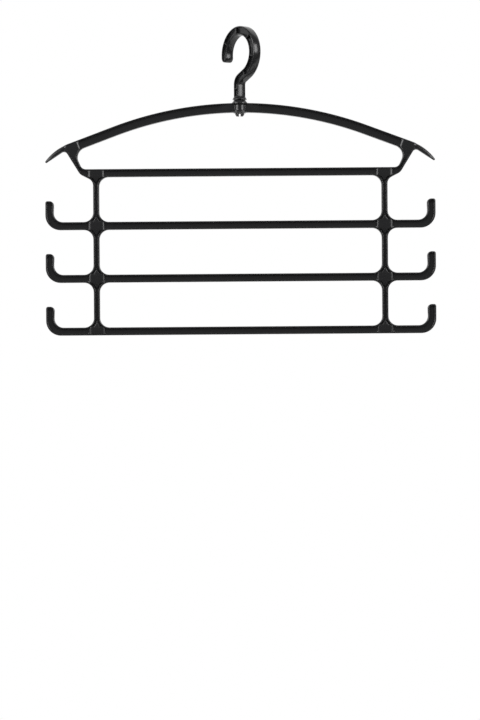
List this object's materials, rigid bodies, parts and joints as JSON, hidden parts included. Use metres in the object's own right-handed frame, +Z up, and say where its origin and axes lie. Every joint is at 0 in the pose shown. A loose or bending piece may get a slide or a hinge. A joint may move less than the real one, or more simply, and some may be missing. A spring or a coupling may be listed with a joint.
{
  "type": "tiered trouser hanger",
  "caption": "Moulded plastic hanger that carries trousers on bars one below another, with a curved shoulder arch, upturned side hooks for belts, and a rail hook that swivels on a snap pin.",
  "frame": {"origin": "where the swivel axis meets the inside of the rail hook, on the top of the rail", "axes": "+X to the right along the trouser bars, +Y to the back, +Z up along the swivel axis"},
  "size_m": [0.429, 0.0518, 0.3384],
  "materials": {
    "frame_plastic": "black moulded plastic, satin with soft highlights",
    "hook_plastic": "black moulded plastic, a little glossier than the frame"
  },
  "bodies": {
    "hook": {"swivel_hook": "hook_plastic"},
    "frame": {"hanger_frame": "frame_plastic"}
  },
  "joints": [
    {"name": "hook_swivel", "type": "hinge", "parent": "hook", "child": "frame", "pos_m": [0, 0, 0], "axis": [0, 0, 1], "continuous": true}
  ]
}
